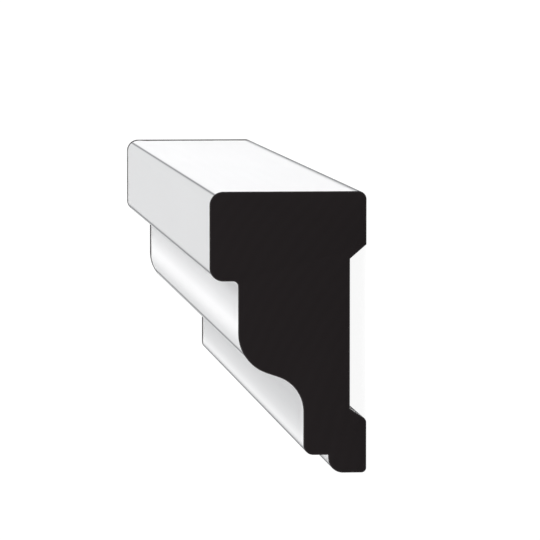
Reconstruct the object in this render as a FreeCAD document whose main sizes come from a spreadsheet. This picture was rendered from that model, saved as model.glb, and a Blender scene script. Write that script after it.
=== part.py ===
"""A rake moulding: one stick of milled wood that trims the sloping edge of a gable under the roof covering.

The stick lies on its back, as it would on a level floor.
  X runs along the stick, from one square-cut end to the other.
  Y runs across its face, from the foot (the lower edge when it is nailed up) to the top edge.
  Z is its thickness, from the back lands at 0 to the flat of the nose.
The origin is the middle of the back, in the plane of the lands. All sizes are in millimetres and degrees.

Seen in section from the top edge down, the face has a square nose with rounded corners, a quirk under it,
a flat body, an ogee (a round, a short flat and a cove), a flat stem, and a foot that is set back from it.
The back is milled away between two lands, so that the stick bears only along its two edges.
"""

import FreeCAD, Part
import enum
import math
import os

import Sketcher

NODE = "rake_moulding"
SHEET = "Dimensions"

# Alias, value and meaning of each driving dimension.
DIMENSIONS = [
    ("stock_length", 305.0, "length of the stick"),
    ("overall_height", 70.0, "from the foot to the top edge"),
    ("overall_depth", 39.0, "from the back lands to the flat of the nose"),
    ("nose_height", 22.2, "from the top edge to the underside of the nose"),
    ("nose_set_out", 7.1, "how far the nose stands out from the body"),
    ("nose_top_radius", 3.4, "round of the nose's upper corner"),
    ("nose_under_radius", 3.4, "round of the nose's lower corner"),
    ("quirk_radius", 1.3, "hollow where the nose's underside meets the body"),
    ("body_flat", 12.9, "flat of the body between the nose and the ogee"),
    ("ovolo_radius", 10.5, "round at the upper part of the ogee"),
    ("ogee_flat", 3.1, "short flat between the ogee's round and its cove"),
    ("ogee_slope", 19.0, "angle of that flat to the underside of the nose"),
    ("cove_radius", 9.2, "hollow at the lower part of the ogee"),
    ("stem_radius", 2.5, "round of the stem's lower corner"),
    ("foot_height", 4.5, "height of the foot"),
    ("foot_set_back", 6.2, "how far the foot stands back from the stem"),
    ("foot_radius", 3.7, "round of the foot's front corner"),
    ("top_land", 13.2, "width of the back land along the top edge"),
    ("foot_land", 13.3, "width of the back land along the foot"),
    ("relief_depth", 4.1, "depth of the milled back"),
    ("top_shoulder", 41.0, "lean of the relief's upper side off square"),
    ("foot_shoulder", 33.0, "lean of the relief's lower side off square"),
    ("shoulder_radius", 1.6, "round where that lower side meets its land"),
    ("top_arris_radius", 2.0, "eased arris between the top edge and the back"),
    ("foot_arris_radius", 1.2, "eased arris between the foot and the back"),
]


class Tip(enum.IntEnum):
    """The two ends of an edge, numbered as a sketch's constraints number them."""

    START = enum.auto()
    END = enum.auto()


class Axis(enum.IntEnum):
    """A sketch's own axes, numbered as its constraints number them."""

    X = -1
    Y = -2


START, END = Tip.START, Tip.END

# A sketch's own origin is the start of its X axis.
ORIGIN = (Axis.X, START)

# How near an edge has to lie to the corner that it is picked by.
PICK_TOLERANCE = 0.01


def add_sheet(doc):
    """Writes the driving dimensions to a spreadsheet, and returns them by alias."""
    sheet = doc.addObject("Spreadsheet::Sheet", SHEET)
    for row, (alias, value, meaning) in enumerate(DIMENSIONS, start=1):
        sheet.set(f"A{row}", meaning)
        sheet.set(f"B{row}", str(value))
        sheet.setAlias(f"B{row}", alias)
    doc.recompute()
    return {alias: sheet.get(alias) for alias, _, _ in DIMENSIONS}


def face_points(d):
    """Works out the corners and arc centres of the section, as (y, z), from the dimensions d."""
    half = d["overall_height"] / 2
    nose_face = d["overall_depth"]
    body_face = nose_face - d["nose_set_out"]
    under_nose = half - d["nose_height"]
    ovolo_top = under_nose - d["body_flat"]

    # The unit vector that points squarely out of the ogee's short flat.
    slope = math.radians(d["ogee_slope"])
    out_y, out_z = -math.cos(slope), math.sin(slope)
    ovolo_centre = (ovolo_top, body_face - d["ovolo_radius"])
    ovolo_end = (
        ovolo_centre[0] + d["ovolo_radius"] * out_y,
        ovolo_centre[1] + d["ovolo_radius"] * out_z,
    )
    cove_end = (
        ovolo_end[0] - d["ogee_flat"] * out_z,
        ovolo_end[1] + d["ogee_flat"] * out_y,
    )
    cove_centre = (
        cove_end[0] + d["cove_radius"] * out_y,
        cove_end[1] + d["cove_radius"] * out_z,
    )
    stem_face = cove_centre[1] - d["cove_radius"]
    foot_face = stem_face - d["foot_set_back"]
    foot_top = d["foot_height"] - half
    return {
        "foot_back": (-half, 0),
        "foot_front": (-half, foot_face),
        "foot_top": (foot_top, foot_face),
        "stem_corner": (foot_top, stem_face),
        "stem_top": (cove_centre[0], stem_face),
        "cove_centre": cove_centre,
        "cove_end": cove_end,
        "ovolo_end": ovolo_end,
        "ovolo_centre": ovolo_centre,
        "ovolo_top": (ovolo_top, body_face),
        "quirk": (under_nose, body_face),
        "nose_under": (under_nose, nose_face),
        "nose_top": (half, nose_face),
        "top_back": (half, 0),
    }


def relief_points(d):
    """Works out the four corners of the milled back, as (y, z), from the dimensions d."""
    half = d["overall_height"] / 2
    depth = d["relief_depth"]
    top, foot = half - d["top_land"], d["foot_land"] - half
    top_run = depth * math.tan(math.radians(d["top_shoulder"]))
    foot_run = depth * math.tan(math.radians(d["foot_shoulder"]))
    return {
        "foot_mouth": (foot, 0),
        "foot_floor": (foot + foot_run, depth),
        "top_floor": (top - top_run, depth),
        "top_mouth": (top, 0),
    }


def new_sketch(body, name):
    """Adds a sketch on the plane across the stick, where the sketch's x is Y and its y is Z."""
    sketch = body.newObject("Sketcher::SketchObject", name)
    plane = next(o for o in body.Origin.OriginFeatures if o.Role == "YZ_Plane")
    sketch.AttachmentSupport = [(plane, "")]
    sketch.MapMode = "FlatFace"
    return sketch


def line(start, end):
    """A straight edge from start to end, both (y, z)."""
    return Part.LineSegment(FreeCAD.Vector(*start, 0), FreeCAD.Vector(*end, 0))


def arc(centre, radius, first, last):
    """An arc that runs anticlockwise from the angle first to the angle last, in degrees."""
    circle = Part.Circle(FreeCAD.Vector(*centre, 0), FreeCAD.Vector(0, 0, 1), radius)
    return Part.ArcOfCircle(circle, math.radians(first), math.radians(last))


def add_edges(sketch, edges):
    """Adds the named edges to the sketch, and returns each one's number by name."""
    return {name: sketch.addGeometry(edge, False) for name, edge in edges.items()}


def fix(sketch, kind, *where):
    """Adds a constraint that has no size."""
    sketch.addConstraint(Sketcher.Constraint(kind, *where))


def drive(sketch, kind, where, value, name, formula=None):
    """Adds a size to the sketch, bound to the sheet's cell of that name or else to the formula."""
    index = sketch.addConstraint(Sketcher.Constraint(kind, *where, value))
    sketch.renameConstraint(index, name)
    sketch.setExpression(f"Constraints.{name}", formula or f"{SHEET}.{name}")


def draw_section(body, d):
    """Draws the section with a flat back, square corners, and an ogee of two arcs of the same turn."""
    p = face_points(d)
    sketch = new_sketch(body, "Section")
    turn = 90 - d["ogee_slope"]
    e = add_edges(
        sketch,
        {
            "foot_bottom": line(p["foot_back"], p["foot_front"]),
            "foot_face": line(p["foot_front"], p["foot_top"]),
            "foot_step": line(p["foot_top"], p["stem_corner"]),
            "stem_face": line(p["stem_corner"], p["stem_top"]),
            "cove": arc(p["cove_centre"], d["cove_radius"], -90, -90 + turn),
            "ogee_flat": line(p["cove_end"], p["ovolo_end"]),
            "ovolo": arc(p["ovolo_centre"], d["ovolo_radius"], 90, 90 + turn),
            "body_face": line(p["ovolo_top"], p["quirk"]),
            "nose_underside": line(p["quirk"], p["nose_under"]),
            "nose_face": line(p["nose_under"], p["nose_top"]),
            "top_edge": line(p["nose_top"], p["top_back"]),
            "back": line(p["top_back"], p["foot_back"]),
        },
    )
    for name in ("foot_face", "stem_face", "body_face", "nose_face"):
        fix(sketch, "Horizontal", e[name])
    for name in ("foot_bottom", "foot_step", "nose_underside", "top_edge"):
        fix(sketch, "Vertical", e[name])

    upper = ["body_face", "nose_underside", "nose_face", "top_edge", "back"]
    lower = ["foot_bottom", "foot_face", "foot_step", "stem_face"]
    chain = upper + lower
    for before, after in zip(chain, chain[1:]):
        fix(sketch, "Coincident", e[before], END, e[after], START)
    fix(sketch, "Tangent", e["stem_face"], END, e["cove"], START)
    fix(sketch, "Tangent", e["cove"], END, e["ogee_flat"], START)
    fix(sketch, "Tangent", e["ogee_flat"], END, e["ovolo"], END)
    fix(sketch, "Tangent", e["ovolo"], START, e["body_face"], START)
    fix(sketch, "Symmetric", e["back"], START, e["back"], END, Axis.Y)
    fix(sketch, "PointOnObject", e["back"], START, Axis.X)

    for kind, edge, first, last, name in (
        ("DistanceX", "back", END, START, "overall_height"),
        ("DistanceY", "top_edge", END, START, "overall_depth"),
        ("DistanceX", "nose_face", START, END, "nose_height"),
        ("DistanceY", "nose_underside", START, END, "nose_set_out"),
        ("DistanceX", "body_face", START, END, "body_flat"),
        ("DistanceX", "foot_face", START, END, "foot_height"),
        ("DistanceY", "foot_step", START, END, "foot_set_back"),
    ):
        drive(sketch, kind, (e[edge], first, e[edge], last), d[name], name)
    drive(sketch, "Distance", (e["ogee_flat"],), d["ogee_flat"], "ogee_flat")
    drive(sketch, "Radius", (e["ovolo"],), d["ovolo_radius"], "ovolo_radius")
    drive(sketch, "Radius", (e["cove"],), d["cove_radius"], "cove_radius")
    formula = f"(90 - {SHEET}.ogee_slope) * 1 deg"
    drive(sketch, "Angle", (e["ogee_flat"],), math.radians(turn), "ogee_slope", formula)
    return sketch


def draw_relief(body, d):
    """Draws the trapezium that is milled out of the back between its two lands."""
    p = relief_points(d)
    sketch = new_sketch(body, "Relief")
    e = add_edges(
        sketch,
        {
            "foot_side": line(p["foot_mouth"], p["foot_floor"]),
            "floor": line(p["foot_floor"], p["top_floor"]),
            "top_side": line(p["top_mouth"], p["top_floor"]),
            "mouth": line(p["top_mouth"], p["foot_mouth"]),
        },
    )
    fix(sketch, "Coincident", e["foot_side"], END, e["floor"], START)
    fix(sketch, "Coincident", e["floor"], END, e["top_side"], END)
    fix(sketch, "Coincident", e["top_side"], START, e["mouth"], START)
    fix(sketch, "Coincident", e["mouth"], END, e["foot_side"], START)
    fix(sketch, "Horizontal", e["floor"])
    fix(sketch, "PointOnObject", e["mouth"], START, Axis.X)
    fix(sketch, "PointOnObject", e["mouth"], END, Axis.X)

    half = f"{SHEET}.overall_height / 2"
    to_top = (*ORIGIN, e["mouth"], START)
    to_foot = (e["mouth"], END, *ORIGIN)
    drive(sketch, "DistanceX", to_top, p["top_mouth"][0], "top_land", f"{half} - {SHEET}.top_land")
    drive(sketch, "DistanceX", to_foot, -p["foot_mouth"][0], "foot_land", f"{half} - {SHEET}.foot_land")
    up_the_side = (e["foot_side"], START, e["foot_side"], END)
    drive(sketch, "DistanceY", up_the_side, d["relief_depth"], "relief_depth")
    for side, name, lean in (
        ("foot_side", "foot_shoulder", -1),
        ("top_side", "top_shoulder", 1),
    ):
        angle = math.radians(90 + lean * d[name])
        formula = f"(90 + {lean} * {SHEET}.{name}) * 1 deg"
        drive(sketch, "Angle", (e[side],), angle, name, formula)
    return sketch


def run_through(body, kind, name, sketch):
    """Pads the sketch to the stick's length, or pockets it right through, both ways from the middle."""
    feature = body.newObject(f"PartDesign::{kind}", name)
    feature.Profile = sketch
    feature.SideType = "Symmetric"
    if kind == "Pad":
        feature.setExpression("Length", f"{SHEET}.stock_length")
    else:
        feature.Type = "ThroughAll"
    sketch.Visibility = False
    return feature


def round_corner(doc, body, name, corner, alias):
    """Rounds the long edge that passes through the corner (y, z), to the radius of that alias."""
    base = body.Tip
    picked = [
        f"Edge{number}"
        for number, edge in enumerate(base.Shape.Edges, start=1)
        if all(math.dist((v.Y, v.Z), corner) < PICK_TOLERANCE for v in edge.Vertexes)
    ]
    if len(picked) != 1:
        raise RuntimeError(f"{name} needs one edge at {corner}, and {len(picked)} are there")
    feature = body.newObject("PartDesign::Fillet", name)
    feature.Base = (base, picked)
    feature.setExpression("Radius", f"{SHEET}.{alias}")
    doc.recompute()
    return feature


def check(doc, body):
    """Stops if any object of the document failed, or if the stick isn't one valid solid."""
    failed = [o.Name for o in doc.Objects if {"Invalid", "Error"} & set(o.State)]
    if failed:
        raise RuntimeError(f"these objects failed: {failed}")
    for sketch in (o for o in doc.Objects if o.TypeId == "Sketcher::SketchObject"):
        if not sketch.FullyConstrained:
            raise RuntimeError(f"the sketch {sketch.Name} is open to move")
    shape = body.Shape
    if shape.isNull() or not shape.isValid() or len(shape.Solids) != 1:
        raise RuntimeError("the stick isn't one valid solid")


def build_moulding(doc, d):
    """Mills the stick: its face and flat back first, then the relieved back, then its rounded corners."""
    body = doc.addObject("PartDesign::Body", "RakeMoulding")
    body.Label = NODE
    section = draw_section(body, d)
    run_through(body, "Pad", "Stick", section)
    doc.recompute()
    flat_backed = body.Shape.Volume

    relief = draw_relief(body, d)
    run_through(body, "Pocket", "MilledBack", relief)
    doc.recompute()
    if not body.Shape.Volume < flat_backed:
        raise RuntimeError("the milled back cut nothing")

    corners = {**face_points(d), **relief_points(d)}
    for name, corner, alias in (
        ("NoseTopRound", "nose_top", "nose_top_radius"),
        ("NoseUnderRound", "nose_under", "nose_under_radius"),
        ("Quirk", "quirk", "quirk_radius"),
        ("StemRound", "stem_corner", "stem_radius"),
        ("FootRound", "foot_front", "foot_radius"),
        ("ShoulderRound", "foot_mouth", "shoulder_radius"),
        ("TopArris", "top_back", "top_arris_radius"),
        ("FootArris", "foot_back", "foot_arris_radius"),
    ):
        round_corner(doc, body, name, corners[corner], alias)
    return body


def main():
    """Builds the document and writes the stick's solid."""
    doc = FreeCAD.newDocument("RakeMoulding")
    body = build_moulding(doc, add_sheet(doc))
    check(doc, body)
    os.makedirs("parts", exist_ok=True)
    body.Shape.exportStep(os.path.join("parts", f"{body.Label}.step"))
    box = body.Shape.BoundBox
    print(f"{body.Label}: {box.XLength:.2f} x {box.YLength:.2f} x {box.ZLength:.2f} mm")


main()
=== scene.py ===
"""Dresses the rake moulding in its primer and end sealer, and sets it on a pale studio floor.

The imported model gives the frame: X runs along the stick, Y across its face towards the top edge, and Z out
of the face, and the back lands lie on the floor at Z = 0. Blender works in metres, and so does the frame.
Sizes of the moulding and its finishes are in millimetres here, as on a mill's drawing, and MM turns them.
"""

import logging
import math
from dataclasses import dataclass
from enum import Enum

import bpy
import numpy as np
from mathutils import Matrix, Vector


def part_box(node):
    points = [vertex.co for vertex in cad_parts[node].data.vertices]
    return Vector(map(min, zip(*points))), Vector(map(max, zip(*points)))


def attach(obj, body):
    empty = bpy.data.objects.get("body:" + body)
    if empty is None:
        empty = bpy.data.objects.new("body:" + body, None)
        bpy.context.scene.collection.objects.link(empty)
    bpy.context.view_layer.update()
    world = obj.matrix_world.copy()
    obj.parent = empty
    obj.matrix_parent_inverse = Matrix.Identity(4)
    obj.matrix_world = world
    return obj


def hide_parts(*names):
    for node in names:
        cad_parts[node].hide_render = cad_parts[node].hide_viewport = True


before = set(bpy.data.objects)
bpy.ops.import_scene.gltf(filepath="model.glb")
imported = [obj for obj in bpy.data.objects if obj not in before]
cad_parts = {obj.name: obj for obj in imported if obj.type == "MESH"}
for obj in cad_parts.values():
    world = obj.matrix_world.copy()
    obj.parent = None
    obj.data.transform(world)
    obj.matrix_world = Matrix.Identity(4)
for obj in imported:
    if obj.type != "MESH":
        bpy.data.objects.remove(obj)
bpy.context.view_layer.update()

MM = 0.001
BODY = "root"
NODE = "rake_moulding"

# Nearly all the values of a noise pattern lie between these two.
NOISE_LOW, NOISE_HIGH = 0.3, 0.7
# A wave pattern turns by so many radians over one unit of its scaled coordinates.
WAVE_RATE = 20.0

log = logging.getLogger("rake moulding")


def linear(code: str) -> tuple[float, float, float, float]:
    """Turns an sRGB hex colour into the linear one that a shader works in.

    Args:
        code: the colour as "#RRGGBB".

    Returns:
        Red, green, blue and an alpha of 1. Each channel c is c / 12.92 where it is dark, and otherwise
        ((c + 0.055) / 1.055) to the power 2.4.
    """
    channels = np.array([int(code[i : i + 2], 16) for i in (1, 3, 5)]) / 255
    curved = np.where(channels <= 0.04045, channels / 12.92, ((channels + 0.055) / 1.055) ** 2.4)
    return (*curved.tolist(), 1.0)


def noise_scale(size: float) -> float:
    """The scale at which a noise pattern's blotches are so many millimetres across."""
    return 1 / (size * MM)


def wave_scale(spacing: float) -> float:
    """The scale at which a wave pattern's crests lie so many millimetres apart, a full turn each."""
    return math.tau / (WAVE_RATE * spacing * MM)


def add_node(
    tree: bpy.types.NodeTree,
    kind: str,
    inputs: dict[str | int, object] | None = None,
    **settings: object,
) -> bpy.types.Node:
    """Adds one node to a tree, sets it up and links what feeds it.

    Args:
        tree: the node tree.
        kind: the node's type, without its leading "ShaderNode".
        inputs: for each input socket, by name or number, its value or the output socket that feeds it.
        **settings: the node's own properties.

    Returns:
        The new node.
    """
    node = tree.nodes.new(f"ShaderNode{kind}")
    for name, value in settings.items():
        setattr(node, name, value)
    for key, value in (inputs or {}).items():
        if isinstance(value, bpy.types.NodeSocket):
            tree.links.new(value, node.inputs[key])
        else:
            node.inputs[key].default_value = value
    return node


def add_heights(
    tree: bpy.types.NodeTree, waves: list[tuple[bpy.types.NodeSocket, float]]
) -> bpy.types.NodeSocket:
    """Adds up the patterns of a surface's relief and turns them into a bump.

    Args:
        tree: the material's tree.
        waves: for each pattern its values, from 0 to 1, and the height in millimetres that a 1 stands for.

    Returns:
        The normal of the surface with that relief.
    """
    height = 0.0
    for wave, tallest in waves:
        terms = {0: wave, 1: tallest * MM, 2: height}
        height = add_node(tree, "Math", terms, operation="MULTIPLY_ADD").outputs[0]
    return add_node(tree, "Bump", {"Height": height, "Distance": 1.0, "Strength": 1.0}).outputs["Normal"]


class Place(Enum):
    """The corners of the section, in order from the foot's back, up the face and back along the lands."""

    FOOT_BACK = "foot back"
    FOOT_FRONT = "foot front"
    FOOT_TOP = "foot top"
    STEM = "stem"
    COVE = "cove"
    OVOLO = "ovolo"
    QUIRK = "quirk"
    NOSE_UNDER = "nose under"
    NOSE_TOP = "nose top"
    TOP_BACK = "top back"
    TOP_MOUTH = "top mouth"
    TOP_FLOOR = "top floor"
    FOOT_FLOOR = "foot floor"
    FOOT_MOUTH = "foot mouth"


@dataclass(frozen=True)
class Outline:
    """The rounded outline of the section as points in order, in millimetres.

    Attributes:
        points: one row (y, z) for each point.
        girth: how far along the outline each point lies.
        arcs: for each corner, where along the outline its round starts and how long it is.
        total: the length all the way round.
    """

    points: np.ndarray
    girth: np.ndarray
    arcs: dict[Place, tuple[float, float]]
    total: float

    def at(self, place: Place, past: float) -> float:
        """Where along the outline a point lies that is past the middle of a corner's round by so much."""
        start, length = self.arcs[place]
        return start + length / 2 + past

    def outward(self) -> np.ndarray:
        """Works out which way is out of the wood.

        Returns:
            For each point a unit vector (y, z): the chord of its two neighbours, turned a quarter left.
        """
        chord = np.roll(self.points, -1, axis=0) - np.roll(self.points, 1, axis=0)
        left = np.stack([-chord[:, 1], chord[:, 0]], axis=1)
        return left / np.linalg.norm(left, axis=1, keepdims=True)


@dataclass(frozen=True)
class Section:
    """The milled section, as corners that are each rounded by one arc.

    The height and depth come from the frame. The ogee is two such corners: the short flat between its round
    and its cove meets the body's face at one and the stem's face at the other, and their rounds are the ovolo
    and the cove. All sizes are in millimetres. The ogee's slope and the two shoulders' leans are in degrees.
    """

    height: float
    depth: float

    # The square nose, and the quirk under it.
    nose_height: float = 22.2
    nose_set_out: float = 7.1
    nose_top_radius: float = 3.4
    nose_under_radius: float = 3.4
    quirk_radius: float = 1.3

    # The flat body, and the ogee below it.
    body_flat: float = 12.9
    ovolo_radius: float = 10.5
    ogee_flat: float = 3.1
    ogee_slope: float = 19.0
    cove_radius: float = 9.2

    # The stem's lower edge, and the foot that is set back from it.
    stem_radius: float = 2.5
    foot_height: float = 4.5
    foot_set_back: float = 6.2
    foot_radius: float = 3.7

    # The back's two lands, and the relief between them.
    top_land: float = 13.2
    foot_land: float = 13.3
    relief_depth: float = 4.1
    top_shoulder: float = 41.0
    foot_shoulder: float = 33.0
    shoulder_radius: float = 1.6
    top_arris_radius: float = 2.0
    foot_arris_radius: float = 1.2

    # The round that sanding gives a sharp edge, and how finely the rounds and the flats are divided.
    milled_edge: float = 0.2
    arc_steps: int = 32
    flat_step: float = 0.7

    def corners(self) -> dict[Place, tuple[float, float, float]]:
        """Works out the corners before they are rounded.

        Returns:
            For each corner its y, its z and the radius of its round. An edge that the mill leaves sharp has
            the small round that sanding gives it.
        """
        top, foot = self.height / 2, -self.height / 2
        body_face = self.depth - self.nose_set_out
        under_nose = top - self.nose_height

        # Both rounds of the ogee turn by the angle between the face and the flat, and each starts a tangent's
        # length before its corner: the radius times the tangent of half the turn.
        slope = math.radians(self.ogee_slope)
        half_turn = (math.pi / 2 - slope) / 2
        ovolo_tangent = self.ovolo_radius * math.tan(half_turn)
        cove_tangent = self.cove_radius * math.tan(half_turn)
        ovolo_y = under_nose - self.body_flat - ovolo_tangent
        run = ovolo_tangent + self.ogee_flat + cove_tangent
        cove_y = ovolo_y - run * math.sin(slope)
        stem_face = body_face - run * math.cos(slope)
        foot_face = stem_face - self.foot_set_back
        foot_top = foot + self.foot_height

        top_mouth, foot_mouth = top - self.top_land, foot + self.foot_land
        top_run = self.relief_depth * math.tan(math.radians(self.top_shoulder))
        foot_run = self.relief_depth * math.tan(math.radians(self.foot_shoulder))
        eased = self.milled_edge
        return {
            Place.FOOT_BACK: (foot, 0, self.foot_arris_radius),
            Place.FOOT_FRONT: (foot, foot_face, self.foot_radius),
            Place.FOOT_TOP: (foot_top, foot_face, eased),
            Place.STEM: (foot_top, stem_face, self.stem_radius),
            Place.COVE: (cove_y, stem_face, self.cove_radius),
            Place.OVOLO: (ovolo_y, body_face, self.ovolo_radius),
            Place.QUIRK: (under_nose, body_face, self.quirk_radius),
            Place.NOSE_UNDER: (under_nose, self.depth, self.nose_under_radius),
            Place.NOSE_TOP: (top, self.depth, self.nose_top_radius),
            Place.TOP_BACK: (top, 0, self.top_arris_radius),
            Place.TOP_MOUTH: (top_mouth, 0, eased),
            Place.TOP_FLOOR: (top_mouth - top_run, self.relief_depth, eased),
            Place.FOOT_FLOOR: (foot_mouth + foot_run, self.relief_depth, eased),
            Place.FOOT_MOUTH: (foot_mouth, 0, self.shoulder_radius),
        }

    def outline(self) -> Outline:
        """Rounds every corner and divides the flats between them.

        A corner's arc starts a tangent's length before it, its centre lies a radius to the inside of the
        turn, and its points are the first one turned about the centre by equal shares of the whole turn.

        Returns:
            The closed outline, clockwise with Y to the right and Z up.
        """
        table = self.corners()
        y, z, radius = np.array(list(table.values())).T
        corner = np.stack([y, z], axis=1)
        ahead = np.roll(corner, -1, axis=0) - corner
        ahead /= np.linalg.norm(ahead, axis=1, keepdims=True)
        behind = np.roll(ahead, 1, axis=0)
        cross = behind[:, 0] * ahead[:, 1] - behind[:, 1] * ahead[:, 0]
        turn = np.arctan2(cross, (behind * ahead).sum(axis=1))

        start = corner - behind * (radius * np.tan(np.abs(turn) / 2))[:, None]
        left = np.stack([-behind[:, 1], behind[:, 0]], axis=1)
        centre = start + left * (radius * np.sign(turn))[:, None]
        angle = turn[:, None] * np.linspace(0, 1, self.arc_steps + 1)
        arm = (start - centre)[:, None, :]
        swung_y = arm[..., 0] * np.cos(angle) - arm[..., 1] * np.sin(angle)
        swung_z = arm[..., 0] * np.sin(angle) + arm[..., 1] * np.cos(angle)
        arcs = centre[:, None, :] + np.stack([swung_y, swung_z], axis=-1)

        points = arcs.reshape(-1, 2)
        closed = np.vstack([points, points[:1]])
        girth = np.concatenate([[0], np.cumsum(np.linalg.norm(np.diff(closed, axis=0), axis=1))])

        # The stretch after an arc's last point is a flat, and only there are points added.
        extra = np.arange(self.flat_step / 2, girth[-1], self.flat_step)
        stretch = np.searchsorted(girth, extra, side="right") - 1
        extra = extra[stretch % (self.arc_steps + 1) == self.arc_steps]
        along = np.union1d(girth[:-1], extra)
        dense = np.stack([np.interp(along, girth, closed[:, axis]) for axis in (0, 1)], axis=1)

        first = girth[:-1].reshape(arcs.shape[:2])
        spans = {place: (float(row[0]), float(row[-1] - row[0])) for place, row in zip(table, first)}
        return Outline(points=dense, girth=along, arcs=spans, total=float(girth[-1]))


@dataclass(frozen=True)
class Stop:
    """A value at the point that lies past the middle of a corner's round by so many millimetres."""

    place: Place
    past: float
    value: float


@dataclass(frozen=True)
class PaintedShadeLine:
    """A darker line painted along the stick beside an edge, as painted shade.

    Attributes:
        place: the corner that the line runs beside.
        past: how far past the middle of the corner's round the line's middle lies, in millimetres.
        width: how wide it is, in millimetres.
    """

    place: Place
    past: float
    width: float


class Layer(Enum):
    """The measures that the mesh carries for its finish and for the light and shade painted into it, by the
    name of each one's attribute.
    """

    # Painted shade and a painted highlight: how far the colour goes from the grey to the white.
    PAINTED_LIGHT = "painted_shade_and_highlight"
    # Painted shade: darker lines along the edges where the rounds turn away.
    PAINTED_EDGE_SHADE = "painted_edge_shade_mask"
    LAP = "sealer_lap"


@dataclass(frozen=True)
class GrowthRings:
    """The rings of the log that the stick was sawn from.

    They give the eye slow parallel ripples along the stick and arcs across its ends.

    Attributes:
        spacing: from one ring to the next, in millimetres.
        pith: the y and z of their middle, which lies behind the stick's back, in millimetres.
        stray: how far the rings stray from circles.
        stray_detail: how many finer strays are laid over the first.
        stray_scale: the scale of the strays, as a share of the rings' own.
    """

    spacing: float = 3.2
    pith: tuple[float, float] = (-46.0, -71.0)
    stray: float = 4.0
    stray_detail: float = 2.0
    stray_scale: float = 0.4

    def pattern(
        self, tree: bpy.types.NodeTree, place: bpy.types.NodeSocket, along: float = 1.0
    ) -> bpy.types.NodeSocket:
        """Works out the rings, as a wave of the distance from the pith.

        Args:
            tree: the material's tree.
            place: the object coordinates.
            along: how much a step along the stick counts. Less of it draws the strays out along the grain.

        Returns:
            1 on each ring and 0 half-way between two of them.
        """
        pith_y, pith_z = self.pith
        from_pith = add_node(
            tree,
            "Mapping",
            {"Vector": place, "Location": (0.0, -pith_y * MM, -pith_z * MM), "Scale": (along, 1.0, 1.0)},
        ).outputs["Vector"]
        return add_node(
            tree,
            "TexWave",
            {
                "Vector": from_pith,
                "Scale": wave_scale(self.spacing),
                "Distortion": self.stray,
                "Detail": self.stray_detail,
                "Detail Scale": self.stray_scale,
            },
            wave_type="RINGS",
            rings_direction="X",
        ).outputs["Fac"]


@dataclass(frozen=True)
class Finish:
    """What is the same all over a coat.

    Attributes:
        name: the material's name.
        roughness: from 0 for a mirror to 1 for fully matt.
        ior: the index of refraction of the coat's binder.
        specular: how glossy it is, where 0.5 is the gloss that its ior gives.
    """

    name: str
    roughness: float
    ior: float
    specular: float

    def start(self) -> tuple[bpy.types.Material, bpy.types.Node]:
        """Makes a plain material of the coat.

        Returns:
            The material and its shader.
        """
        made = bpy.data.materials.new(self.name)
        made.use_nodes = True
        shader = made.node_tree.nodes["Principled BSDF"]
        shader.inputs["Roughness"].default_value = self.roughness
        shader.inputs["IOR"].default_value = self.ior
        shader.inputs["Specular IOR Level"].default_value = self.specular
        return made, shader


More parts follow.
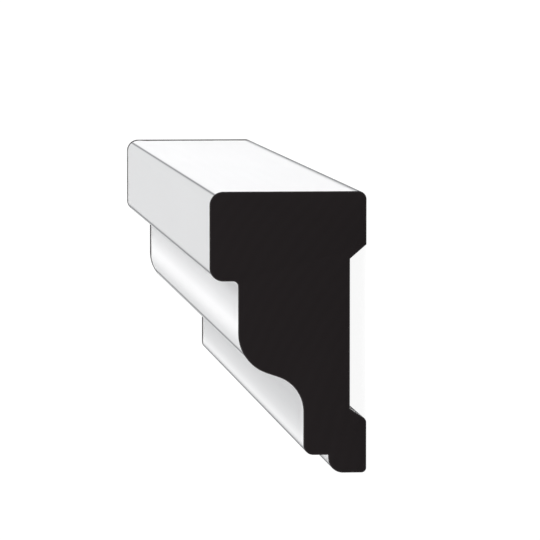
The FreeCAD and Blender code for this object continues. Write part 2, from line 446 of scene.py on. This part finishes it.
@dataclass(frozen=True)
class PrimedPine(Finish):
    """White acrylic primer, sprayed on planed pine and sanded once, with end sealer lapped over its ends.

    It gives the eye a soft, even white with almost no gloss. The long grain and the planer's knife marks show
    through it only as faint ripples. Painted shade makes it greyer on the nose's face, under the nose and in
    the cove, a painted highlight keeps it full white on the ogee's upper turn, and painted shade lines darken
    it along the rounded edges. Widths, spacings and heights are in millimetres.
    """

    name: str = "white_primer_on_planed_pine"
    roughness: float = 0.82
    ior: float = 1.5
    specular: float = 0.25
    white: str = "#F7F7F8"
    # Painted shade: the grey that the colour goes to where the painted-light measure is low.
    painted_shade_grey: str = "#C2C3C4"
    # Painted shade: the grey of the dark lines painted along the edges.
    painted_edge_shade: str = "#747578"
    sealer: str = "#231F20"

    # The slow mottle of the colour. A step along the stick counts for less, which draws it out.
    mottle_size: float = 24.0
    mottle_detail: float = 4.0
    mottle_along: float = 0.25
    mottle_depth: float = 0.02

    # The relief of the planed wood and of the sprayed film.
    rings: GrowthRings = GrowthRings()
    rings_along: float = 0.03
    ring_height: float = 0.026
    knife_pitch: float = 2.6  # a planer's marks are about 1.5 mm apart, too fine to show here
    knife_stray: float = 0.4
    knife_height: float = 0.004
    stipple_size: float = 1.4
    stipple_height: float = 0.011

    # The sealer's laps: the near one's width, how soft an edge is, and how a brush wavers the far one's.
    near_lap: float = 0.4
    lap_edge: float = 0.25
    lap_waver: float = 0.4
    brush_size: float = 3.0
    brush_detail: float = 3.0

    def material(self, half_length: float) -> bpy.types.Material:
        """Makes the material.

        Args:
            half_length: from the middle of the stick to either end, in millimetres.

        Returns:
            The primer's material, with the sealer's colour beside both ends.
        """
        made, shader = self.start()
        tree = made.node_tree
        place = add_node(tree, "TexCoord").outputs["Object"]
        terms = {
            "Factor": self.lapped(tree, place, half_length),
            "A": self.coat(tree, place),
            "B": linear(self.sealer),
        }
        colour = add_node(tree, "Mix", terms, data_type="RGBA").outputs["Result"]
        tree.links.new(colour, shader.inputs["Base Color"])
        tree.links.new(self.relief(tree, place), shader.inputs["Normal"])
        return made

    def lapped(
        self, tree: bpy.types.NodeTree, place: bpy.types.NodeSocket, half_length: float
    ) -> bpy.types.NodeSocket:
        """Works out where the sealer laps over from the ends.

        The near lap stops on a straight line across the stick. The far lap is as wide as the mesh says, and
        noise wavers its edge as a brush does: it covers a point where its width, less the waver and less the
        point's x, is over the half length.

        Args:
            tree: the material's tree.
            place: the object coordinates.
            half_length: from the middle of the stick to either end, in millimetres.

        Returns:
            1 under the sealer and 0 clear of it.
        """
        x = add_node(tree, "SeparateXYZ", {"Vector": place}).outputs["X"]
        half_edge = self.lap_edge / 2 * MM
        far_line = half_length * MM
        near_line = far_line - self.near_lap * MM
        near = add_node(
            tree,
            "MapRange",
            {"Value": x, "From Min": near_line - half_edge, "From Max": near_line + half_edge},
        ).outputs["Result"]

        brush = add_node(
            tree,
            "TexNoise",
            {"Vector": place, "Scale": noise_scale(self.brush_size), "Detail": self.brush_detail},
        ).outputs["Fac"]
        waver = add_node(
            tree,
            "MapRange",
            {
                "Value": brush,
                "From Min": NOISE_LOW,
                "From Max": NOISE_HIGH,
                "To Min": -self.lap_waver * MM,
                "To Max": self.lap_waver * MM,
            },
        ).outputs["Result"]
        lap = add_node(tree, "Attribute", attribute_name=Layer.LAP.value).outputs["Fac"]
        wavered = add_node(tree, "Math", {0: lap, 1: waver}, operation="SUBTRACT").outputs[0]
        beyond = add_node(tree, "Math", {0: wavered, 1: x}, operation="SUBTRACT").outputs[0]
        far = add_node(
            tree,
            "MapRange",
            {"Value": beyond, "From Min": far_line - half_edge, "From Max": far_line + half_edge},
        ).outputs["Result"]
        return add_node(tree, "Math", {0: near, 1: far}, operation="MAXIMUM").outputs[0]

    def coat(self, tree: bpy.types.NodeTree, place: bpy.types.NodeSocket) -> bpy.types.NodeSocket:
        """Works out the primer's colour.

        Args:
            tree: the material's tree.
            place: the object coordinates.

        Returns:
            The white, greyer where shade is painted in and full white where a highlight is painted in, darker
            along the painted shade lines at the edges, with a slow mottle that is drawn out along the stick.
        """
        # Painted shade and a painted highlight, as a mix from the grey to the white.
        painted_light = add_node(tree, "Attribute", attribute_name=Layer.PAINTED_LIGHT.value).outputs["Fac"]
        shaded_and_lit = add_node(
            tree,
            "Mix",
            {"Factor": painted_light, "A": linear(self.painted_shade_grey), "B": linear(self.white)},
            data_type="RGBA",
        ).outputs["Result"]

        drawn = add_node(tree, "Mapping", {"Vector": place, "Scale": (self.mottle_along, 1.0, 1.0)})
        clouds = add_node(
            tree,
            "TexNoise",
            {
                "Vector": drawn.outputs["Vector"],
                "Scale": noise_scale(self.mottle_size),
                "Detail": self.mottle_detail,
            },
        ).outputs["Fac"]
        shade = add_node(
            tree,
            "MapRange",
            {
                "Value": clouds,
                "From Min": NOISE_LOW,
                "From Max": NOISE_HIGH,
                "To Min": 1 - self.mottle_depth,
                "To Max": 1.0,
            },
        ).outputs["Result"]
        grey = add_node(tree, "CombineColor", {"Red": shade, "Green": shade, "Blue": shade})
        mottled = add_node(
            tree,
            "Mix",
            {"Factor": 1.0, "A": shaded_and_lit, "B": grey.outputs["Color"]},
            data_type="RGBA",
            blend_type="MULTIPLY",
        ).outputs["Result"]

        # Painted shade: darker lines along the edges that turn away.
        painted_edge_shade = add_node(tree, "Attribute", attribute_name=Layer.PAINTED_EDGE_SHADE.value).outputs["Fac"]
        terms = {"Factor": painted_edge_shade, "A": mottled, "B": linear(self.painted_edge_shade)}
        return add_node(tree, "Mix", terms, data_type="RGBA").outputs["Result"]

    def relief(self, tree: bpy.types.NodeTree, place: bpy.types.NodeSocket) -> bpy.types.NodeSocket:
        """Works out the relief of what shows through the primer.

        Args:
            tree: the material's tree.
            place: the object coordinates.

        Returns:
            The bumped normal, from the rings drawn out along the grain, the knife marks across it and the
            fine stipple of the sprayed film.
        """
        knives = add_node(
            tree,
            "TexWave",
            {"Vector": place, "Scale": wave_scale(self.knife_pitch), "Distortion": self.knife_stray},
            wave_type="BANDS",
            bands_direction="X",
        ).outputs["Fac"]
        stipple = add_node(tree, "TexNoise", {"Vector": place, "Scale": noise_scale(self.stipple_size)})
        return add_heights(
            tree,
            [
                (self.rings.pattern(tree, place, self.rings_along), self.ring_height),
                (knives, self.knife_height),
                (stipple.outputs["Fac"], self.stipple_height),
            ],
        )


@dataclass(frozen=True)
class SealedEndGrain(Finish):
    """Black end sealer, brushed on sawn end grain.

    It gives the eye a near-black, flat and matt face, on which the wood's rings and the saw's straight
    scratches show only as faint ridges. Widths, spacings and heights are in millimetres.
    """

    name: str = "black_sealer_on_sawn_end_grain"
    roughness: float = 0.9
    ior: float = 1.5
    specular: float = 0.1
    black: str = "#1F1B1C"
    thin: str = "#201C1D"
    rings: GrowthRings = GrowthRings()
    ring_height: float = 0.008
    saw_pitch: float = 1.1
    saw_stray: float = 3.0
    saw_height: float = 0.003

    def material(self) -> bpy.types.Material:
        """Makes the material.

        Returns:
            The sealer's material. The wood drinks the sealer on its rings, where it is thin and so a slightly
            lighter black. The rings and the saw's scratches both stand up a little.
        """
        made, shader = self.start()
        tree = made.node_tree
        place = add_node(tree, "TexCoord").outputs["Object"]
        rings = self.rings.pattern(tree, place)
        scratches = add_node(
            tree,
            "TexWave",
            {"Vector": place, "Scale": wave_scale(self.saw_pitch), "Distortion": self.saw_stray},
            wave_type="BANDS",
            bands_direction="Y",
        ).outputs["Fac"]
        terms = {"Factor": rings, "A": linear(self.black), "B": linear(self.thin)}
        tone = add_node(tree, "Mix", terms, data_type="RGBA").outputs["Result"]
        relief = add_heights(tree, [(rings, self.ring_height), (scratches, self.saw_height)])
        tree.links.new(tone, shader.inputs["Base Color"])
        tree.links.new(relief, shader.inputs["Normal"])
        return made


@dataclass
class Stick:
    """The whole moulding: its section carried along the stick, with sawn ends.

    Sizes are in millimetres, and the angle from which an edge counts as sharp is in degrees.
    """

    section: Section
    length: float
    name: str = "moulding_stick"
    end_ease: float = 0.3
    ease_steps: int = 4
    station_step: float = 10.0
    sharp_angle: float = 30.0
    primer: PrimedPine = PrimedPine()
    sealer: SealedEndGrain = SealedEndGrain()

    # Painted light round the section: full white on the top face, a painted highlight on the upper turn of
    # the ogee and at the stem's lower edge, and painted shade, a greyer tone, on the nose's face, under the
    # nose and in the cove.
    painted_light_stops: tuple[Stop, ...] = (
        Stop(Place.FOOT_BACK, 0.0, 0.9),
        Stop(Place.FOOT_FRONT, 0.0, 0.9),
        Stop(Place.STEM, 1.5, 1.0),
        Stop(Place.STEM, 2.6, 0.9),
        Stop(Place.STEM, 5.0, 0.55),
        Stop(Place.STEM, 8.0, 0.43),
        Stop(Place.OVOLO, -1.0, 0.43),
        Stop(Place.OVOLO, 4.0, 0.55),
        Stop(Place.OVOLO, 7.0, 0.95),
        Stop(Place.OVOLO, 8.5, 1.0),
        Stop(Place.OVOLO, 10.5, 0.8),
        Stop(Place.OVOLO, 13.0, 0.63),
        Stop(Place.QUIRK, -2.5, 0.73),
        Stop(Place.NOSE_UNDER, 0.0, 0.4),
        Stop(Place.NOSE_TOP, 0.1, 0.4),
        Stop(Place.NOSE_TOP, 0.4, 0.85),
        Stop(Place.NOSE_TOP, 3.0, 1.0),
    )
    # The brush lapped the sealer further over the far end's flat faces than over its nose and foot, and
    # hardly into the milled back.
    lap_stops: tuple[Stop, ...] = (
        Stop(Place.FOOT_BACK, 0.0, 4.5),
        Stop(Place.COVE, 0.0, 4.5),
        Stop(Place.OVOLO, 0.0, 6.0),
        Stop(Place.QUIRK, 0.0, 6.0),
        Stop(Place.NOSE_UNDER, 0.0, 4.5),
        Stop(Place.NOSE_TOP, 0.0, 4.5),
        Stop(Place.NOSE_TOP, 4.0, 9.0),
        Stop(Place.TOP_BACK, 0.0, 9.0),
        Stop(Place.TOP_BACK, 8.0, 4.5),
        Stop(Place.TOP_MOUTH, 0.0, 0.4),
        Stop(Place.FOOT_MOUTH, 0.0, 0.4),
    )
    # Painted shade lines along the edges: the widest by the top's back edge, the stem and the foot, and the
    # finest by the nose's upper edge.
    painted_shade_lines: tuple[PaintedShadeLine, ...] = (
        PaintedShadeLine(Place.TOP_BACK, -1.35, 2.0),
        PaintedShadeLine(Place.NOSE_TOP, 0.35, 0.53),
        PaintedShadeLine(Place.NOSE_UNDER, 1.3, 0.95),
        PaintedShadeLine(Place.OVOLO, 1.1, 1.35),
        PaintedShadeLine(Place.STEM, 0.75, 1.85),
        PaintedShadeLine(Place.FOOT_FRONT, 0.8, 2.0),
    )

    def stations(self) -> tuple[np.ndarray, np.ndarray]:
        """Works out where along the stick the section is repeated, and how far it is drawn in there.

        Returns:
            The places along X, and for each the inset of the outline, both in millimetres. At each end a
            quarter circle eases the sawn edge: x goes with the sine of its angle, and the inset with one less
            its cosine.
        """
        inner = self.length / 2 - self.end_ease
        count = round(2 * inner / self.station_step)
        middle = np.linspace(-inner, inner, count + 1)
        angle = np.linspace(0, math.pi / 2, self.ease_steps + 1)[1:]
        reach = inner + self.end_ease * np.sin(angle)
        drawn_in = self.end_ease * (1 - np.cos(angle))
        along = np.concatenate([-reach[::-1], middle, reach])
        inset = np.concatenate([drawn_in[::-1], np.zeros(count + 1), drawn_in])
        return along, inset

    def spread(self, stops: tuple[Stop, ...], outline: Outline) -> np.ndarray:
        """A value at each point of the outline, drawn straight from stop to stop and on to the first."""
        where = [outline.at(stop.place, stop.past) for stop in stops]
        return np.interp(outline.girth, where, [stop.value for stop in stops], period=outline.total)

    def painted_edge_shade(self, outline: Outline) -> np.ndarray:
        """Works out how dark the painted shade lines are round the section.

        Args:
            outline: the section's outline.

        Returns:
            The greatest of the lines' bells at each point. A bell is e to the power of minus the square of
            the distance from the line's middle over half its width.
        """
        middle = np.array([outline.at(line.place, line.past) for line in self.painted_shade_lines])
        half_width = np.array([line.width / 2 for line in self.painted_shade_lines])
        away = (outline.girth[:, None] - middle) / half_width
        return np.exp(-(away**2)).max(axis=1)

    def mesh(self) -> bpy.types.Mesh:
        """Carries the outline along the stick and closes both ends.

        The vertex at station i and outline point j is (x of i, y and z of j less the inset of i times the
        outward vector of j). Each quad joins two stations and two points, and each end is one flat face.

        Returns:
            The closed mesh, in metres, with its first material on the long faces and its second on the ends.
        """
        outline = self.section.outline()
        along, inset = self.stations()
        rows, ring = len(along), len(outline.points)
        vertices = np.empty((rows, ring, 3))
        vertices[..., 0] = along[:, None]
        vertices[..., 1:] = outline.points - outline.outward() * inset[:, None, None]

        number = np.arange(rows * ring).reshape(rows, ring)
        beside = np.roll(number, -1, axis=1)
        quads = np.stack([number[:-1], number[1:], beside[1:], beside[:-1]], axis=-1).reshape(-1, 4)
        ends = [number[0].tolist(), number[-1, ::-1].tolist()]

        made = bpy.data.meshes.new(self.name)
        made.from_pydata((vertices.reshape(-1, 3) * MM).tolist(), [], quads.tolist() + ends)
        is_end = np.arange(len(made.polygons)) >= len(quads)
        made.polygons.foreach_set("material_index", is_end.astype(np.int32))
        made.polygons.foreach_set("use_smooth", ~is_end)
        made.set_sharp_from_angle(angle=math.radians(self.sharp_angle))
        # The first two measures carry painted shade and a painted highlight; the sealer's lap is a real
        # width.
        for layer, values in (
            (Layer.PAINTED_LIGHT, self.spread(self.painted_light_stops, outline)),
            (Layer.PAINTED_EDGE_SHADE, self.painted_edge_shade(outline)),
            (Layer.LAP, self.spread(self.lap_stops, outline) * MM),
        ):
            attribute = made.attributes.new(layer.value, "FLOAT", "POINT")
            attribute.data.foreach_set("value", np.tile(values, rows).astype(np.float32))
        return made

    def build(self) -> bpy.types.Object:
        """Makes the piece and dresses it.

        Returns:
            The piece, which rides on the stick's body and stands for its plain solid.
        """
        made = self.mesh()
        made.materials.append(self.primer.material(self.length / 2))
        made.materials.append(self.sealer.material())
        piece = bpy.data.objects.new(self.name, made)
        bpy.context.collection.objects.link(piece)
        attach(piece, BODY)
        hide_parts(NODE)
        return piece


def add_seen(tree: bpy.types.NodeTree) -> bpy.types.NodeSocket:
    """Tells a ray that shows a surface from one that only carries its light.

    Args:
        tree: the material's or the world's tree.

    Returns:
        1 for a ray that the camera, a mirror or glass sees by, and 0 for any other.
    """
    path = add_node(tree, "LightPath").outputs
    seen = path["Is Camera Ray"]
    for ray in ("Is Glossy Ray", "Is Transmission Ray"):
        seen = add_node(tree, "Math", {0: seen, 1: path[ray]}, operation="MAXIMUM").outputs[0]
    return seen


@dataclass(frozen=True)
class FloorPaint:
    """Matt white paint on a studio floor.

    It gives the eye an even white that keeps the object's shadow: where it is seen, most of its level is a
    glow and only a share comes from the lamps. Where it only carries light, it is plain white paint.
    """

    name: str = "matt_white_floor_paint"
    white: str = "#F2F2F2"
    lit_share: float = 0.15
    glow: float = 0.935

    def material(self) -> bpy.types.Material:
        """Makes the material.

        Returns:
            The paint, with the glow of a full white as 1.
        """
        made = bpy.data.materials.new(self.name)
        made.use_nodes = True
        tree = made.node_tree
        tree.nodes.remove(tree.nodes["Principled BSDF"])
        red, green, blue, alpha = linear(self.white)
        paint = add_node(tree, "BsdfDiffuse", {"Color": (red, green, blue, alpha)}).outputs["BSDF"]
        share = (red * self.lit_share, green * self.lit_share, blue * self.lit_share, alpha)
        lit = add_node(tree, "BsdfDiffuse", {"Color": share}).outputs["BSDF"]
        glow = add_node(tree, "Emission", {"Strength": self.glow}).outputs["Emission"]
        shown = add_node(tree, "AddShader", {0: lit, 1: glow}).outputs["Shader"]
        either = add_node(tree, "MixShader", {0: add_seen(tree), 1: paint, 2: shown}).outputs["Shader"]
        tree.links.new(either, tree.nodes["Material Output"].inputs["Surface"])
        return made


@dataclass(frozen=True)
class Lamp:
    """A far, broad lamp.

    Attributes:
        name: the lamp's name.
        towards: the way from the object to it.
        level: how bright it makes a white face that is squarely turned to it, where 1 is white.
        spread: how broad it looks from the object, in degrees.
    """

    name: str
    towards: tuple[float, float, float]
    level: float
    spread: float

    def build(self) -> bpy.types.Object:
        """Makes the lamp.

        Returns:
            The lamp, with pi times the level as its strength, because a white face throws back its light in
            all directions and shows a pi-th of it in any one.
        """
        light = bpy.data.lights.new(self.name, "SUN")
        light.energy = self.level * math.pi
        light.angle = math.radians(self.spread)
        lamp = bpy.data.objects.new(self.name, light)
        lamp.rotation_mode = "QUATERNION"
        lamp.rotation_quaternion = Vector(self.towards).to_track_quat("Z", "Y")
        bpy.context.collection.objects.link(lamp)
        return lamp


@dataclass
class Studio:
    """The pale floor, the white surroundings, the soft lamps and the camera.

    The camera looks along the stick from beyond its near end, with the stick's top edge upwards in the
    picture. Sizes and places are in millimetres, but for the floor's reach, which is in metres.
    """

    eye: tuple[float, float, float] = (1304.7, 97.0, 136.4)
    aim: tuple[float, float, float] = (152.5, 15.6, 24.03)
    lens: float = 313.0
    sensor: float = 36.0
    floor_reach: float = 20.0
    floor_gap: float = 0.05  # keeps the back lands and the floor from flickering through each other
    floor_paint: FloorPaint = FloorPaint()
    surround_level: float = 0.30
    lamps: tuple[Lamp, ...] = (
        Lamp("key_lamp", (0.22, 0.69, 0.68), 0.67, 40.0),
        Lamp("fill_lamp", (0.22, -0.78, 0.58), 0.50, 50.0),
    )

    def surround(self) -> bpy.types.World:
        """Makes the surroundings.

        Returns:
            The world, which is white where it is seen and has a plain low level where it only gives light.
        """
        world = bpy.data.worlds.new("white_surround")
        world.use_nodes = True
        tree = world.node_tree
        terms = {"Value": add_seen(tree), "To Min": self.surround_level, "To Max": 1.0}
        level = add_node(tree, "MapRange", terms).outputs["Result"]
        background = tree.nodes["Background"]
        background.inputs["Color"].default_value = (1.0, 1.0, 1.0, 1.0)
        tree.links.new(level, background.inputs["Strength"])
        bpy.context.scene.world = world
        return world

    def floor(self) -> bpy.types.Object:
        """Makes the floor.

        Returns:
            A square just under the back lands, which isn't part of the object.
        """
        reach, level = self.floor_reach, -self.floor_gap * MM
        corners = [(x * reach, y * reach, level) for x, y in ((-1, -1), (1, -1), (1, 1), (-1, 1))]
        made = bpy.data.meshes.new("studio_floor")
        made.from_pydata(corners, [], [(0, 1, 2, 3)])
        made.materials.append(self.floor_paint.material())
        floor = bpy.data.objects.new("studio_floor", made)
        bpy.context.collection.objects.link(floor)
        return floor

    def camera(self) -> bpy.types.Object:
        """Makes the camera.

        Returns:
            The camera, turned so that its picture's upright lies along Y, the stick's width.
        """
        eye, aim = (Vector(place) * MM for place in (self.eye, self.aim))
        forward = (aim - eye).normalized()
        right = forward.cross(Vector((0, 1, 0))).normalized()
        upright = right.cross(forward)
        turned = Matrix((right, upright, -forward)).transposed()
        data = bpy.data.cameras.new("studio_camera")
        data.lens = self.lens
        data.sensor_width = self.sensor
        data.clip_end = self.floor_reach
        camera = bpy.data.objects.new("studio_camera", data)
        camera.matrix_world = Matrix.Translation(eye) @ turned.to_4x4()
        bpy.context.collection.objects.link(camera)
        bpy.context.scene.camera = camera
        return camera

    def build(self) -> None:
        """Sets the studio up round the object, with colours shown as they are written."""
        bpy.context.scene.view_settings.view_transform = "Standard"
        self.camera()
        self.surround()
        self.floor()
        for lamp in self.lamps:
            lamp.build()


def main() -> None:
    """Builds the studio and the moulding in order, and reports each piece."""
    logging.basicConfig(level=logging.INFO, format="%(name)s: %(message)s")
    Studio().build()
    lowest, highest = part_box(NODE)
    length, height, depth = (highest - lowest) / MM
    stick = Stick(section=Section(height=height, depth=depth), length=length)
    piece = stick.build()
    log.info("%s: %d vertices, %d faces", piece.name, len(piece.data.vertices), len(piece.data.polygons))


if __name__ == "__main__":
    main()
